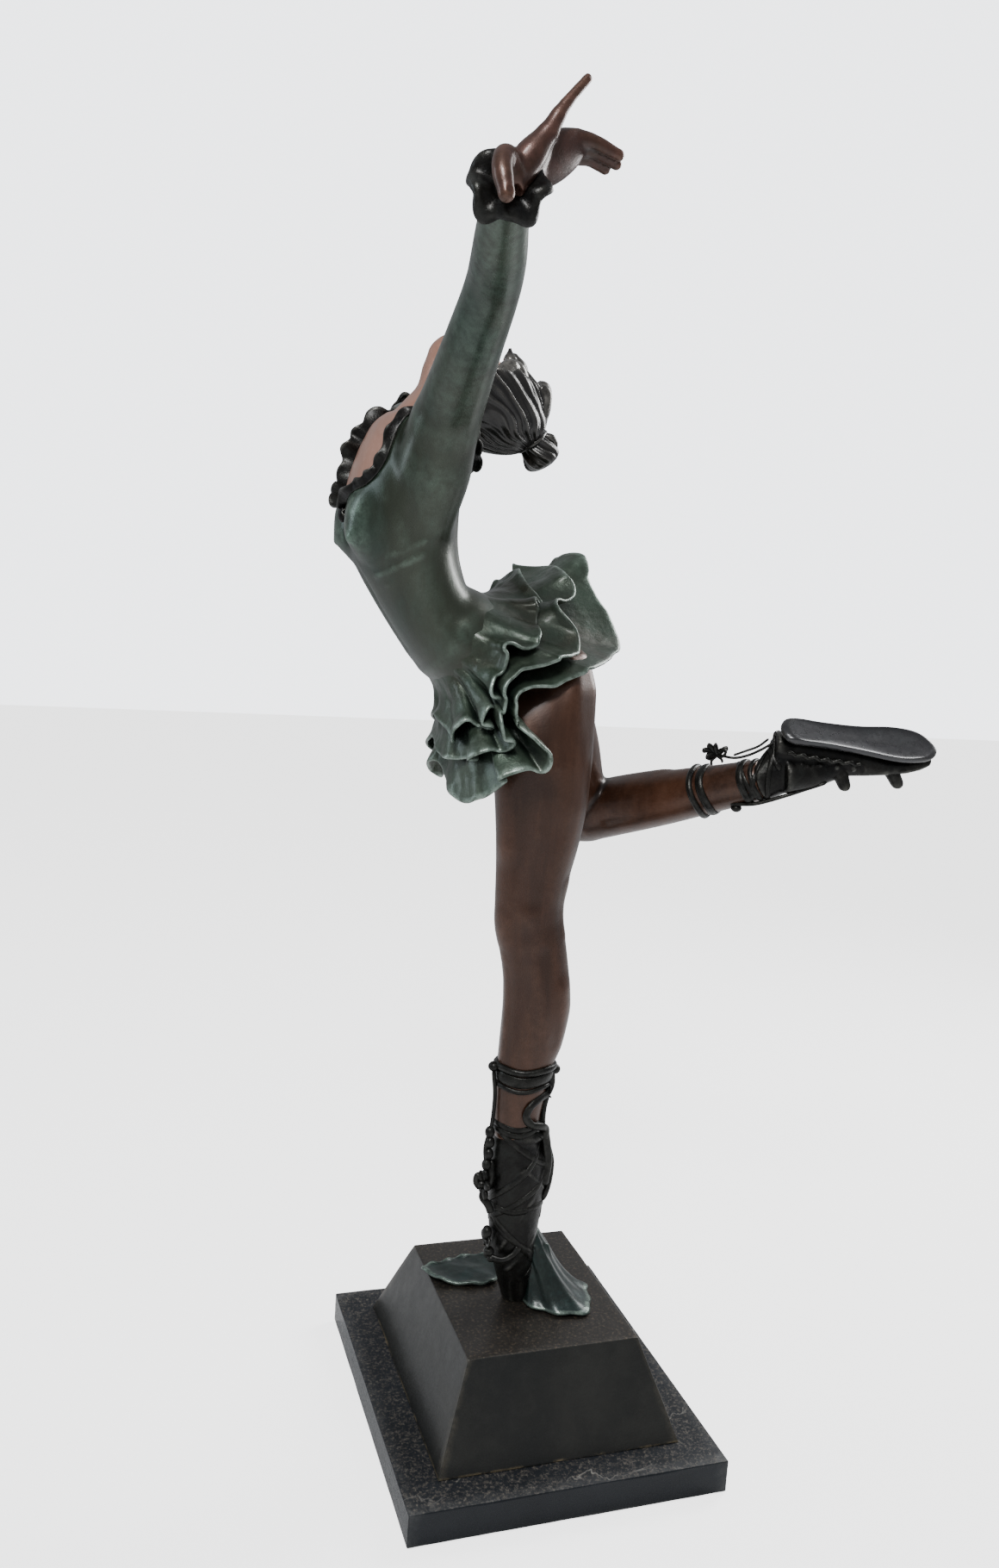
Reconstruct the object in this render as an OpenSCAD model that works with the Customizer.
// Bronze dancer on one pointe, cast in sections, on a hollow bronze plinth bolted to a marble slab.
// Frame: origin at the centre of the underside, +Z up, +X towards the dancer's back,
// +Y towards the dancer's raised leg. Millimetres throughout.

/* [Base] */
// Width of the marble slab, along X
slab_w = 500; // [460:5:560]
// Depth of the marble slab, along Y
slab_d = 570; // [540:5:640]
// Thickness of the marble slab
slab_t = 51; // [40:1:70]
// Thickness of the felt under the slab
felt_t = 3; // [2:0.5:6]
// Width of the plinth at its foot
plinth_w = 387; // [370:1:400]
// Depth of the plinth at its foot
plinth_d = 460; // [440:1:480]
// Width of the plinth at its top
plinth_top_w = 277; // [250:1:290]
// Depth of the plinth at its top
plinth_top_d = 338; // [300:1:350]
// Height of the plinth
plinth_h = 146; // [130:1:160]

/* [Casting] */
// Wall of the hollow castings
wall = 6; // [4:0.5:7]
// Thickness of the cast frills and ribbons
frill_t = 4; // [3:0.5:6]
// Sides of a limb's cross-section
limb_sides = 20; // [12:2:24]
// Rings along a limb
limb_rings = 13; // [8:1:16]

/* [Fixings] */
// Diameter of the steel rod in the standing leg
rod_d = 16; // [12:1:20]
// Diameter of the plinth bolts
bolt_d = 12; // [10:1:12]
// Distance between plinth bolts along X
bolt_pitch_x = 316; // [300:1:320]
// Distance between plinth bolts along Y
bolt_pitch_y = 384; // [370:1:390]

/* [Hidden] */

slab_z = felt_t;
plinth_z = slab_z + slab_t;
plinth_top = plinth_z + plinth_h;
rod_at = [-27, -29];
rod_low = plinth_top - 36;
rod_high = 1000;
rod_clearance = 0.2;
boss_r = 18;
boss_h = 34;
bolt_head_h = 8;
washer_t = 2.5;
bore_depth = 28;

bronze_green = [0.27, 0.36, 0.30];
bronze_brown = [0.36, 0.20, 0.13];
bronze_dark = [0.13, 0.13, 0.13];
bronze_skin = [0.62, 0.42, 0.35];
bronze_teal = [0.20, 0.34, 0.33];
marble_black = [0.10, 0.11, 0.12];
steel = [0.60, 0.62, 0.64];

// ---- curves and skins -------------------------------------------------------------------

function unit(v) = v / norm(v);
function pos(s) = [s[0], s[1], s[2]];
function mix(a, b, t) = a * (1 - t) + b * t;

// Point of a smooth curve between b and c, with neighbours a and d.
function smooth(a, b, c, d, t) =
    0.5 * (2 * b + (c - a) * t + (2 * a - 5 * b + 4 * c - d) * t * t
           + (3 * b - a - 3 * c + d) * t * t * t);

// A row of stations [x, y, z, depth radius, side radius], resampled to n + 1 along u0..u1.
function resample(st, n, u0 = 0, u1 = 1) = [
    for (i = [0:n])
        let (s = mix(u0, u1, i / n) * (len(st) - 1),
             k = min(floor(s), len(st) - 2),
             before = k > 0 ? st[k - 1] : 2 * st[0] - st[1],
             after = k + 2 < len(st) ? st[k + 2] : 2 * st[k + 1] - st[k])
            smooth(before, st[k], st[k + 1], after, s - k)
];

// n points of a smooth closed curve through pts.
function closed_curve(pts, n) = [
    for (i = [0:n - 1])
        let (m = len(pts), s = i * m / n, k = floor(s))
            smooth(pts[(k + m - 1) % m], pts[k % m], pts[(k + 1) % m], pts[(k + 2) % m], s - k)
];

function tangent(st, i) =
    unit(pos(st[min(i + 1, len(st) - 1)]) - pos(st[max(i - 1, 0)]));

// Elliptical ring of k points about station s, square to direction t.
function ring(s, t, ref, k, shrink = 0) =
    let (side = unit(ref - (ref * t) * t), deep = cross(side, t))
        [for (j = [0:k - 1])
            pos(s) + deep * (s[3] - shrink) * cos(360 * j / k)
                   + side * (s[4] - shrink) * sin(360 * j / k)];

function limb_rings_of(st, ref, k, first, last, shrink = 0) = [
    for (i = [0:len(st) - 1])
        let (t = i == 0 && first != undef ? first
               : i == len(st) - 1 && last != undef ? last : tangent(st, i))
            ring(st[i], t, ref, k, shrink)
];

// Quads between ring i and ring i + 1 as two triangles each.
function skin_faces(i, next, k) = [
    for (j = [0:k - 1])
        let (a = i * k + j, b = i * k + (j + 1) % k, c = next * k + j, d = next * k + (j + 1) % k)
            each [[a, c, d], [a, d, b]]
];

// Solid through a row of rings, flat at both ends.
module loft(rings) {
    n = len(rings);
    k = len(rings[0]);
    polyhedron(
        points = [for (r = rings) each r],
        faces = concat(
            [[for (j = [0:k - 1]) j]],
            [for (i = [0:n - 2]) each skin_faces(i, i + 1, k)],
            [[for (j = [k - 1:-1:0]) (n - 1) * k + j]]));
}

// Solid whose last ring joins its first, such as a frill that runs round the body.
module closed_loft(rings) {
    n = len(rings);
    k = len(rings[0]);
    polyhedron(
        points = [for (r = rings) each r],
        faces = [for (i = [0:n - 1]) each skin_faces(i, (i + 1) % n, k)]);
}

// Hollow casting with closed ends: an outer skin less an inner one that stops short of both ends.
module casting(st, ref, first, last, gap = 0.04) {
    difference() {
        loft(limb_rings_of(resample(st, limb_rings), ref, limb_sides, first, last));
        cavity(st, ref, gap);
    }
}

module cavity(st, ref, gap) {
    inner = resample(st, 8, gap, 1 - gap);
    loft(limb_rings_of(inner, ref, 12, undef, undef, wall + 1));
}

// Band round a limb between curve positions u0 and u1, standing proud of its skin.
module limb_band(st, ref, u0, u1, proud, waves = 0, flare = 0) {
    k = 32;
    skin_gap = 0.3;
    low = resample(st, 1, u0, u1);
    t = unit(pos(low[1]) - pos(low[0]));
    function wavy(s, r, f) =
        let (side = unit(ref - (ref * t) * t), deep = cross(side, t))
            [for (j = [0:k - 1])
                let (a = 360 * j / k, w = r + f * (1 + sin(a * waves)) / 2)
                    pos(s) + deep * (s[3] + w) * cos(a) + side * (s[4] + w) * sin(a)];
    closed_loft([
        wavy(low[0], skin_gap, 0),
        wavy(low[0], proud, 0),
        wavy(mix(low[0], low[1], 0.5), proud + 1, flare / 2),
        wavy(low[1], proud, flare),
        wavy(low[1], skin_gap, max(flare - frill_t, 0))
    ]);
}

// Ribbon wound round a limb from u0 to u1, through the given number of turns.
module limb_ribbon(st, ref, u0, u1, turns, phase, lift, ribbon_w) {
    n = 40;
    path = resample(st, n, u0, u1);
    function radial(i) =
        let (t = tangent(path, i), side = unit(ref - (ref * t) * t), deep = cross(side, t),
             a = phase + 360 * turns * i / n)
            unit(deep * cos(a) * path[i][3] + side * sin(a) * path[i][4]);
    function on_skin(i) =
        let (t = tangent(path, i), side = unit(ref - (ref * t) * t), deep = cross(side, t),
             a = phase + 360 * turns * i / n)
            pos(path[i]) + deep * cos(a) * path[i][3] + side * sin(a) * path[i][4];
    rings = [
        for (i = [0:n])
            let (along = unit(on_skin(min(i + 1, n)) - on_skin(max(i - 1, 0))),
                 r = radial(i),
                 across = cross(along, r) * ribbon_w / 2,
                 p = on_skin(i) + r * lift)
                [p - across, p + across, p + across + r * frill_t * 0.6, p - across + r * frill_t * 0.6]
    ];
    loft(rings);
}

module ball(at, r) {
    translate(at) sphere(r = r, $fn = 10);
}

module rod_between(a, b, ra, rb) {
    hull() {
        ball(a, ra);
        ball(b, rb);
    }
}

// Bow of two loops and two tails; the loops lie along u and the tails along v.
module bow(at, u, v, size) {
    rod_between(at + u * size * 0.15, at + u * size * 0.8 + v * size * 0.15, size * 0.14, size * 0.26);
    rod_between(at - u * size * 0.15, at - u * size * 0.8 + v * size * 0.15, size * 0.14, size * 0.26);
    rod_between(at, at + u * size * 0.4 - v * size * 0.9, size * 0.16, size * 0.1);
    rod_between(at, at - u * size * 0.4 - v * size * 0.8, size * 0.16, size * 0.1);
    ball(at, size * 0.24);
}

// ---- limb stations: [x, y, z, depth radius, side radius] -----------------------------------

foot_st = [
    [-16, -24, 202, 22, 20], [-20, -25, 235, 27, 25], [-29, -27, 290, 35, 30],
    [-30, -28, 345, 41, 34], [-30, -28, 400, 45, 37], [-33, -28, 440, 42, 36],
    [-37, -28, 480, 36, 32]
];
leg_st = [
    [-37, -28, 480, 36, 32], [-37, -29, 540, 39, 35], [-31, -30, 600, 44, 40],
    [-24, -31, 660, 49, 45], [-20, -31, 710, 52, 48], [-26, -31, 770, 51, 48],
    [-39, -30, 825, 52, 48], [-43, -30, 870, 53, 50], [-39, -30, 930, 59, 56],
    [-34, -30, 1000, 69, 66], [-38, -31, 1085, 76, 73]
];
hip_left = [-30, -35, 1200];
hip_right = [-10, 125, 1200];
knee_right = [135, 230, 960];
ankle_right = [360, -50, 1072];
thigh_dir = unit(knee_right - hip_right);
shin_dir = unit(ankle_right - knee_right);
thigh_start = hip_right + thigh_dir * 75;
knee_turn = unit(thigh_dir + shin_dir);
thigh_st = [
    [each thigh_start, 80, 78], [each mix(thigh_start, knee_right, 0.35), 74, 72],
    [each mix(thigh_start, knee_right, 0.7), 62, 60], [each knee_right, 54, 52]
];
calf_st = [
    [each knee_right, 54, 52], [each mix(knee_right, ankle_right, 0.22), 52, 49],
    [each mix(knee_right, ankle_right, 0.45), 48, 45], [each mix(knee_right, ankle_right, 0.75), 40, 37],
    [each mix(knee_right, ankle_right, 0.94), 35, 33]
];
side_y = [0, 1, 0];
up_z = [0, 0, 1];

foot_dir = unit([250, -50, -18]);
sole_up = unit([0.03, -0.70, 0.71]);
heel_right = [350, -66, 1143];
sole_len = 258;

torso_st = [
    [-136, 45, 1250, 80, 110], [-174, 45, 1268, 71, 101], [-207, 45, 1300, 63, 92],
    [-227, 45, 1331, 65, 93], [-243, 45, 1363, 70, 100], [-257, 45, 1400, 78, 112],
    [-263, 45, 1443, 82, 122], [-258, 45, 1485, 78, 128], [-246, 45, 1527, 73, 130],
    [-228, 45, 1566, 66, 118]
];
torso_first = unit([-0.906, 0, 0.423]);
torso_last = unit([0.25, 0, 0.97]);

left_arm_st = [
    [-238, -76, 1545, 48, 46], [-238, -140, 1586, 43, 42], [-240, -215, 1634, 38, 37],
    [-243, -300, 1686, 34, 33], [-258, -370, 1708, 32, 31], [-274, -430, 1726, 28, 27],
    [-288, -486, 1742, 24, 23]
];
right_arm_st = [
    [-226, 166, 1556, 48, 46], [-214, 225, 1586, 43, 42], [-196, 300, 1606, 38, 37],
    [-168, 400, 1625, 34, 33], [-150, 480, 1640, 32, 31], [-134, 550, 1653, 28, 27],
    [-118, 620, 1668, 24, 23]
];

head_at = [-152, 45, 1610];
crown_dir = [0.940, 0, -0.342];
head_half = 96;
head_deep = 65;
head_wide = 62;
head_cut = -0.68;
hair_cut = 0.12;

function ovoid(at, dir, half, deep, wide, t0, t1, n) = [
    for (i = [0:n])
        let (t = mix(t0, t1, i / n), r = sqrt(max(1 - t * t, 0.01)))
            [each (at + dir * half * t), deep * r, wide * r]
];

// ---- skirt: closed curves numbered from the front, by the near side and the back ------------

waist_loop = [
    [-176, 45, 1176], [-156, -25, 1196], [-124, -68, 1246], [-96, -25, 1302],
    [-88, 45, 1326], [-96, 115, 1302], [-124, 158, 1246], [-156, 115, 1196]
];
hem_top = [
    [-190, 45, 1146], [-164, -76, 1124], [-126, -112, 1212], [-62, -72, 1284],
    [-42, 45, 1358], [-60, 156, 1344], [-112, 204, 1216], [-158, 130, 1130]
];
hem_middle = [
    [-192, 45, 1098], [-152, -100, 1086], [-110, -134, 1176], [-8, -84, 1252],
    [24, 45, 1376], [-12, 176, 1370], [-86, 228, 1156], [-160, 130, 1080]
];
hem_bottom = [
    [-180, 45, 1054], [-146, -104, 1030], [-84, -150, 1112], [34, -84, 1228],
    [100, 45, 1330], [56, 186, 1372], [-44, 246, 1124], [-150, 132, 1040]
];

// Frill of constant thickness from a loop near the waist to a waved hem.
module tier(start, hem, waves, sway, phase) {
    k = 72;
    rows = 4;
    top = closed_curve(start, k);
    low = closed_curve(hem, k);
    function outward(j) =
        let (along = unit(low[(j + 1) % k] - low[(j + k - 1) % k]), down = unit(low[j] - top[j]))
            unit(cross(down, along));
    function row(v, off) = [
        for (j = [0:k - 1])
            mix(top[j], low[j], v)
            + outward(j) * (off + v * sway * sin(360 * waves * j / k + phase) + 10 * sin(180 * v))
    ];
    closed_loft([
        for (i = [0:rows]) row(i / rows, frill_t / 2),
        for (i = [rows:-1:0]) row(i / rows, -frill_t / 2)
    ]);
}

function toward_waist(start, inset) =
    let (c = [for (p = start) 1] * start / len(start)) [for (p = start) mix(p, c, inset)];

// ---- sub-parts ------------------------------------------------------------------------------

module at_bolts() {
    for (x = [-0.5, 0.5], y = [-0.5, 0.5])
        translate([x * bolt_pitch_x, y * bolt_pitch_y, 0]) children();
}

module felt_baize() {
    color([0.08, 0.16, 0.11])
        translate([-slab_w / 2 + 10, -slab_d / 2 + 10, 0]) cube([slab_w - 20, slab_d - 20, felt_t]);
}

module marble_slab() {
    color(marble_black) difference() {
        translate([-slab_w / 2, -slab_d / 2, slab_z]) cube([slab_w, slab_d, slab_t]);
        at_bolts() {
            translate([0, 0, slab_z - 1]) cylinder(d = bolt_d + 1.5, h = slab_t + 2, $fn = 48);
            translate([0, 0, slab_z - 1]) cylinder(d = bolt_d * 2.5, h = 15, $fn = 48);
        }
    }
}

module frustum(w0, d0, w1, d1, z0, z1) {
    function level(w, d, z) = [[-w, -d, z] / 2, [w, -d, z] / 2, [w, d, z] / 2, [-w, d, z] / 2];
    low = [for (p = level(w0, d0, 0)) p + [0, 0, z0]];
    high = [for (p = level(w1, d1, 0)) p + [0, 0, z1]];
    loft([low, high]);
}

module plinth_shell() {
    top_plate = 8;
    color(bronze_dark) difference() {
        union() {
            difference() {
                frustum(plinth_w, plinth_d, plinth_top_w, plinth_top_d, plinth_z, plinth_top);
                frustum(plinth_w - 2 * wall + 1, plinth_d - 2 * wall + 1,
                        plinth_top_w - 2 * wall, plinth_top_d - 2 * wall,
                        plinth_z - 1.5, plinth_top - top_plate);
            }
            at_bolts() translate([0, 0, plinth_z]) cylinder(r = boss_r, h = boss_h, $fn = 48);
        }
        at_bolts() translate([0, 0, plinth_z - 1]) cylinder(d = bolt_d, h = bore_depth + 1, $fn = 48);
        translate([rod_at[0], rod_at[1], plinth_top - 20])
            cylinder(d = rod_d + 2 * rod_clearance, h = 30, $fn = 48);
    }
}

module plinth_bolts() {
    head_z = slab_z + 14 - washer_t - bolt_head_h;
    color(steel) at_bolts() {
        translate([0, 0, head_z]) cylinder(d = bolt_d * 1.8, h = bolt_head_h, $fn = 6);
        translate([0, 0, head_z + 1])
            cylinder(d = bolt_d - 0.2, h = plinth_z + bore_depth - 4 - head_z, $fn = 48);
    }
}

module washer(outer, inner) {
    difference() {
        cylinder(d = outer, h = washer_t, $fn = 48);
        translate([0, 0, -1]) cylinder(d = inner, h = washer_t + 2, $fn = 48);
    }
}

module bolt_washers() {
    color(steel) at_bolts()
        translate([0, 0, slab_z + 14 - washer_t]) washer(bolt_d * 2.2, bolt_d + 1);
}

module armature_rod() {
    color(steel) translate([rod_at[0], rod_at[1], rod_low])
        cylinder(d = rod_d, h = rod_high - rod_low, $fn = 48);
}

module armature_washer() {
    color(steel) translate([rod_at[0], rod_at[1], plinth_top - 8 - washer_t])
        washer(rod_d * 2, rod_d + 1);
}

module armature_nut() {
    nut_h = 13;
    color(steel) translate([rod_at[0], rod_at[1], plinth_top - 8 - washer_t - nut_h])
        difference() {
            cylinder(d = rod_d * 1.7, h = nut_h, $fn = 6);
            translate([0, 0, -1]) cylinder(d = rod_d + 0.1, h = nut_h + 2, $fn = 48);
        }
}

// Cloth lying on the plinth: a flat flap in front of the toe.
module scarf_flap() {
    outline = [[-148, 80], [-124, 34], [-60, 14], [-30, 24], [-18, 95], [-70, 106], [-115, 92]];
    color(bronze_teal) translate([0, 0, plinth_top])
        linear_extrude(height = 7) polygon([for (p = outline) [p[0], p[1]]]);
}

// The rest of the cloth, bunched into a cone that leans on the back of the foot.
module scarf_fold() {
    base = [
        [0, -64, 0], [24, -98, 0], [66, -104, 0], [104, -76, 0], [116, -34, 0],
        [70, 2, 0], [34, 6, 0], [4, -20, 0]
    ];
    apex = [15, -16, 116];
    lean = [8, 5, 0];
    function level(v) = [
        for (p = closed_curve(base, 24)) mix(p, apex, v) + [0, 0, plinth_top] - lean * sin(180 * v)
    ];
    color(bronze_teal) loft([level(0), level(0.07), level(0.3), level(0.55), level(0.8), level(0.94)]);
}

module standing_slipper() {
    color(bronze_dark) difference() {
        union() {
            loft(limb_rings_of(resample(foot_st, 9), side_y, limb_sides, up_z, up_z));
            hull() {
                ball([-1, -28, 446], 22);
                ball([4, -28, 424], 20);
                ball([-10, -28, 378], 22);
            }
        }
        translate([rod_at[0], rod_at[1], plinth_top - 5])
            cylinder(d = rod_d + 2 * rod_clearance, h = 320, $fn = 48);
    }
}

module standing_leg() {
    color(bronze_brown) difference() {
        casting(leg_st, side_y, up_z, up_z, 0.03);
        translate([rod_at[0], rod_at[1], leg_st[0][2] - 5])
            cylinder(d = rod_d + 2 * rod_clearance, h = 60, $fn = 48);
    }
}

module standing_cuff() {
    color(bronze_dark) {
        limb_band(leg_st, side_y, 0.195, 0.225, 8);
        limb_band(leg_st, side_y, 0.235, 0.26, 5);
    }
}

module standing_laces() {
    color(bronze_dark) {
        limb_ribbon(leg_st, side_y, 0.02, 0.18, 1.25, 30, 0.4, 9);
        limb_ribbon(leg_st, side_y, 0.02, 0.18, -1.25, 30, 3.2, 9);
    }
}

module standing_knots() {
    color(bronze_dark) {
        bow([-78, -34, 520], [0, 1, 0], [0, 0, 1], 26);
        bow([16, -30, 548], [0, 1, 0], [0, 0, 1], 26);
    }
}

module standing_rosette() {
    centre = [-80, -40, 402];
    petals = 5;
    color(bronze_dark) {
        for (i = [0:petals - 1])
            rod_between(centre, centre + [-2, 17 * cos(360 * i / petals), 17 * sin(360 * i / petals)], 6, 9);
        ball(centre - [4, 0, 0], 8);
    }
}

module hips() {
    waist_n = -torso_first;
    function disc(s, t, ref) = ring(s, t, ref, limb_sides);
    module flat_disc(s, t, ref) {
        loft([disc(s, t, ref), [for (p = disc(s, t, ref)) p + t * 1]]);
    }
    seat = [[-34, -10, 1200], [-16, 95, 1208]];
    seat_r = 80;
    color(bronze_brown) difference() {
        hull() {
            flat_disc(leg_st[len(leg_st) - 1], up_z, side_y);
            flat_disc(thigh_st[0], -thigh_dir, side_y);
            flat_disc(torso_st[0], waist_n, side_y);
            for (p = seat) ball(p, seat_r);
        }
        hull() {
            for (p = seat) ball(p, seat_r - wall - 2);
            ball([-38, -31, 1155], 58);
            ball([5, 130, 1180], 40);
            ball([-80, 5, 1225], 50);
            ball([-80, 85, 1225], 50);
        }
    }
}

module raised_thigh() {
    color(bronze_brown) casting(thigh_st, side_y, thigh_dir, knee_turn, 0.12);
}

module raised_calf() {
    color(bronze_brown) casting(calf_st, up_z, knee_turn, shin_dir, 0.1);
}

module raised_cuff() {
    color(bronze_dark) {
        limb_band(calf_st, up_z, 0.70, 0.735, 8);
        limb_band(calf_st, up_z, 0.755, 0.78, 4);
    }
}

module raised_laces() {
    color(bronze_dark) {
        limb_ribbon(calf_st, up_z, 0.80, 0.985, 1, 20, 0.4, 9);
        limb_ribbon(calf_st, up_z, 0.80, 0.985, -1, 20, 3.2, 9);
    }
}

module raised_cuff_bow() {
    color(bronze_dark) bow([286, 10, 1102], shin_dir, [0, 0, 1], 20);
}

// Station rings of the foot, running from the heel to the toe under the sole.
module raised_shoe_upper() {
    under = -sole_up;
    function at(u, drop) = heel_right + foot_dir * sole_len * u + under * drop;
    st = [
        [each at(0.00, 20), 14, 18], [each at(0.08, 30), 26, 29], [each at(0.25, 35), 32, 33],
        [each at(0.45, 32), 28, 35], [each at(0.66, 22), 17, 38], [each at(0.86, 14), 10, 33],
        [each at(0.99, 10), 6, 16]
    ];
    ankle = calf_st[len(calf_st) - 1];
    color(bronze_dark) {
        loft(limb_rings_of(resample(st, 10), cross(sole_up, foot_dir), limb_sides, foot_dir, foot_dir));
        hull() {
            loft([for (d = [0, 1]) [for (p = ring(ankle, shin_dir, up_z, limb_sides)) p + shin_dir * d]]);
            ball(at(0.13, 32), 25);
            ball(at(0.42, 38), 22);
        }
    }
}

module raised_shoe_sole() {
    across = cross(sole_up, foot_dir);
    outline = [
        [-4, 0], [10, 27], [70, 26], [130, 27], [190, 38], [232, 33], [256, 10],
        [257, -8], [232, -33], [190, -39], [130, -29], [70, -25], [10, -26]
    ];
    function level(h, grow) = [
        for (p = closed_curve(outline, 40))
            heel_right + foot_dir * mix(130, p[0], grow) + across * p[1] * grow + sole_up * h
    ];
    color(bronze_dark) loft([level(4, 0.97), level(7, 1), level(12, 1), level(16, 0.94)]);
}

module raised_shoe_knots() {
    color(bronze_dark) {
        rod_between([444, -76, 1106], [459, -90, 1064], 15, 11);
        rod_between([522, -92, 1120], [547, -105, 1078], 15, 11);
    }
}

module skirt_top_tier() {
    color(bronze_green) tier(waist_loop, hem_top, 9, 10, 0);
}

module skirt_middle_tier() {
    color(bronze_green) tier(toward_waist(waist_loop, 0.1), hem_middle, 10, 11, 120);
}

module skirt_bottom_tier() {
    color(bronze_green) tier(toward_waist(waist_loop, 0.2), hem_bottom, 11, 12, 240);
}

module bodice() {
    color(bronze_green) casting(torso_st, side_y, torso_first, torso_last, 0.05);
}

function neck_base() = ring([-229, 45, 1568, 54, 62], torso_last, side_y, 24);
function head_base() = ring(ovoid(head_at, crown_dir, head_half, head_deep, head_wide, head_cut, 0, 1)[0],
                            crown_dir, side_y, 24);

module neck() {
    color(bronze_skin) hull() {
        loft([neck_base(), [for (p = neck_base()) p + torso_last]]);
        loft([[for (p = head_base()) p - crown_dir], head_base()]);
    }
}

collar_path = [
    [-346, 45, 1446], [-336, 2, 1462], [-318, -36, 1486], [-298, -52, 1522], [-278, -50, 1570],
    [-240, -68, 1594], [-198, -56, 1570], [-174, -14, 1530], [-168, 45, 1514], [-174, 108, 1530],
    [-206, 154, 1576], [-256, 150, 1594], [-296, 120, 1560], [-326, 106, 1490]
];

module frill_round(path, n, tall, thick, waves) {
    line = closed_curve(path, n);
    centre = [for (i = [0:n - 1]) 1] * line / n;
    function section(i) =
        let (along = unit(line[(i + 1) % n] - line[(i + n - 1) % n]),
             out = unit(line[i] - centre - ((line[i] - centre) * along) * along),
             rise = cross(along, out),
             w = sin(360 * waves * i / n))
            [for (j = [0:5])
                line[i] + rise * tall * cos(60 * j) * 0.5
                + out * (thick * sin(60 * j) * 0.5 + w * 5 * (1 + cos(60 * j)))];
    closed_loft([for (i = [0:n - 1]) section(i)]);
}

module collar_ruffle() {
    color(bronze_dark) frill_round(collar_path, 72, 26, 8, 14);
}

module collar_bow() {
    color(bronze_dark) bow([-352, 45, 1448], [0, 1, 0], [0, 0, 1], 20);
}

// Hollow part of the head between two cuts across its long axis.
module hollow_ovoid(at, grow, t0, t1) {
    function skin(shrink, a, b) =
        ovoid(at, crown_dir, head_half + grow - shrink, head_deep + grow - shrink,
              head_wide + grow - shrink, a, b, 8);
    difference() {
        loft(limb_rings_of(skin(0, t0, t1), side_y, 28, crown_dir, crown_dir));
        loft(limb_rings_of(skin(wall + 2, t0 + 0.1, t1 - 0.1), side_y, 16, crown_dir, crown_dir));
    }
}

module head() {
    color(bronze_skin) hollow_ovoid(head_at, 0, head_cut, hair_cut);
}

module hair_cap() {
    color(bronze_dark) hollow_ovoid(head_at - crown_dir * 7 * hair_cut, 7, hair_cut, 0.98);
}

module hair_bun() {
    bun_dir = unit([0.57, 0, -0.82]);
    st = ovoid([-53, 45, 1554], bun_dir, 32, 30, 32, -0.7, 0.96, 7);
    color(bronze_dark) loft(limb_rings_of(st, side_y, 20, bun_dir, bun_dir));
}

module left_sleeve() {
    color(bronze_green) casting(left_arm_st, up_z, undef, undef, 0.05);
}

module right_sleeve() {
    color(bronze_green) casting(right_arm_st, up_z, undef, undef, 0.05);
}

module left_wrist_ruffle() {
    color(bronze_dark) limb_band(left_arm_st, up_z, 0.93, 0.995, 4, 7, 13);
}

module right_wrist_ruffle() {
    color(bronze_dark) limb_band(right_arm_st, up_z, 0.93, 0.995, 4, 7, 13);
}

// Hand on a wrist: along runs to the knuckles, up is the back of the hand, over is the thumb's side.
// Each finger is [place across the knuckles, tip, rise of its middle joint], the tip as along, up, over.
module hand(wrist, along, up, over, fingers, thumb_tip) {
    function at(p) = wrist + along * p[0] + up * p[1] + over * p[2];
    palm_len = 72;
    hull() {
        ball(at([4, 0, 7]), 17);
        ball(at([4, 0, -7]), 17);
        ball(at([palm_len, 2, 24]), 11);
        ball(at([palm_len - 5, 0, -24]), 10);
    }
    for (f = fingers) {
        knuckle = at([palm_len, 1, f[0]]);
        bend = mix(knuckle, at(f[1]), 0.5) + up * f[2];
        rod_between(knuckle, bend, 9, 8);
        rod_between(bend, at(f[1]), 8, 6);
    }
    thumb_mid = [46, -12, 34];
    rod_between(at([18, -4, 20]), at(thumb_mid), 11, 9);
    rod_between(at(thumb_mid), at(thumb_tip), 9, 7);
}

module left_hand() {
    over = unit([-0.25, -0.9, 0.2]);
    fingers = [
        [20, [134, 30, 20], -2], [6, [128, -40, 2], 8], [-7, [124, -46, -10], 8], [-18, [118, -46, -20], 6]
    ];
    color(bronze_brown)
        hand([-290, -494, 1746], unit([0.66, 0.06, 0.72]), unit([-0.66, -0.2, 0.66]), over,
             fingers, [30, -26, 70]);
}

module right_hand() {
    along = unit([0.22, 0.95, 0.2]);
    over = unit([-0.9, 0.2, 0]);
    fingers = [
        [22, [152, 14, 28], 2], [7, [158, -6, 10], 8], [-8, [152, -12, -8], 8], [-22, [134, -10, -26], 6]
    ];
    color(bronze_brown)
        hand([-116, 630, 1670], along, unit(cross(over, along)), over, fingers, [84, -16, 50]);
}

felt_baize();
marble_slab();
plinth_shell();
plinth_bolts();
bolt_washers();
armature_rod();
armature_nut();
armature_washer();
scarf_flap();
scarf_fold();
standing_slipper();
standing_leg();
standing_cuff();
standing_laces();
standing_knots();
standing_rosette();
hips();
raised_thigh();
raised_calf();
raised_cuff();
raised_laces();
raised_cuff_bow();
raised_shoe_upper();
raised_shoe_sole();
raised_shoe_knots();
skirt_top_tier();
skirt_middle_tier();
skirt_bottom_tier();
bodice();
neck();
collar_ruffle();
collar_bow();
head();
hair_cap();
hair_bun();
left_sleeve();
left_wrist_ruffle();
left_hand();
right_sleeve();
right_wrist_ruffle();
right_hand();
